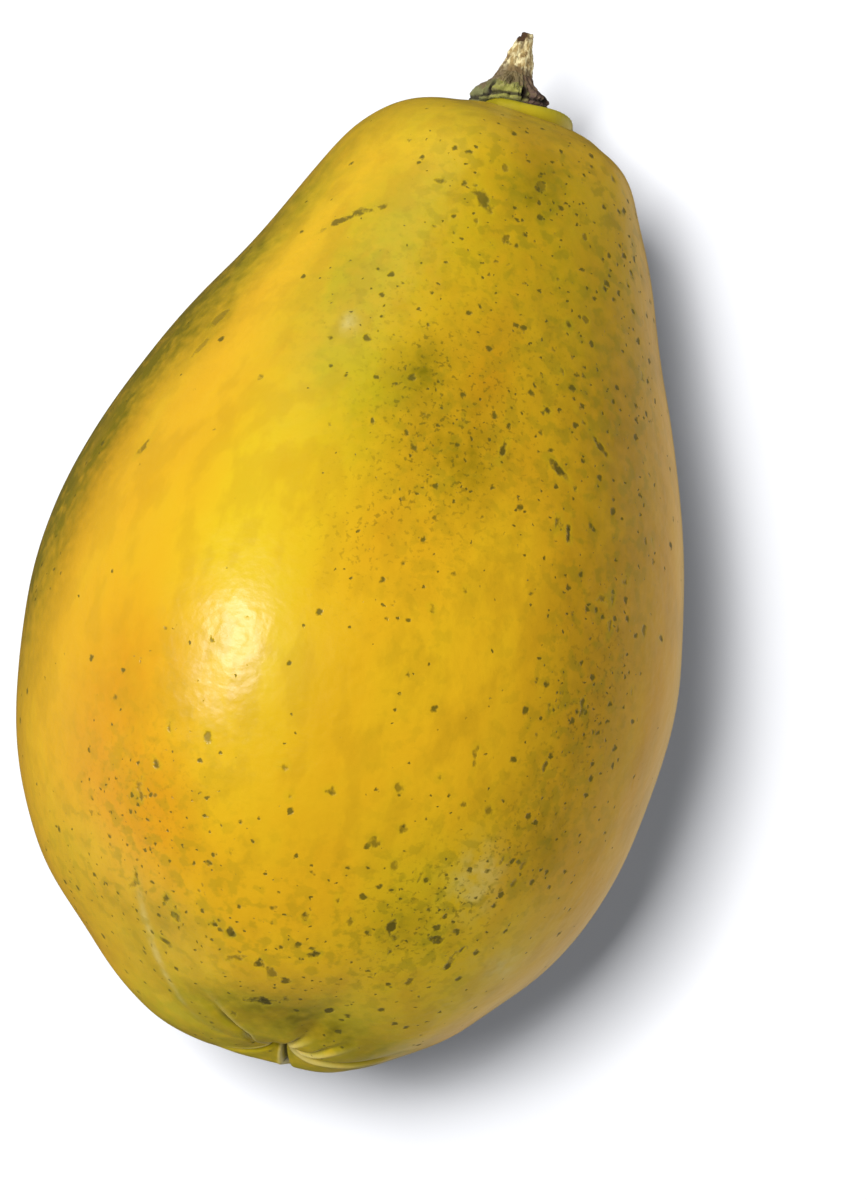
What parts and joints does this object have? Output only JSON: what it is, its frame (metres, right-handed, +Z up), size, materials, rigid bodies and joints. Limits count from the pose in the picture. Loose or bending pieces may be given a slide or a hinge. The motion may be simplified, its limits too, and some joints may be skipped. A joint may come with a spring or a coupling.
{
  "type": "papaya",
  "caption": "Whole ripe papaya lying on its side: glossy yellow-orange skin, puckered blossom end, dry calyx collar and snapped stalk stump.",
  "frame": {"origin": "on the surface the fruit rests on, under the middle of the whole object's box", "axes": "+Y runs from the blossom end towards the stalk, +Z is up as the fruit lies on its side, and +X is across the belly, on the side the neck leans to"},
  "size_m": [0.1094, 0.1768, 0.1048],
  "materials": {
    "skin": "waxy, softly glossy fruit skin, yellow-orange with green and brown flecks",
    "dry_calyx": "dry, wrinkled and matte, olive to purple-brown",
    "dry_stalk": "dry splintered fibres, matte cream with dark hollows"
  },
  "bodies": {
    "root": {"fruit": "skin", "calyx": "dry_calyx", "stalk_stump": "dry_stalk"}
  },
  "joints": []
}
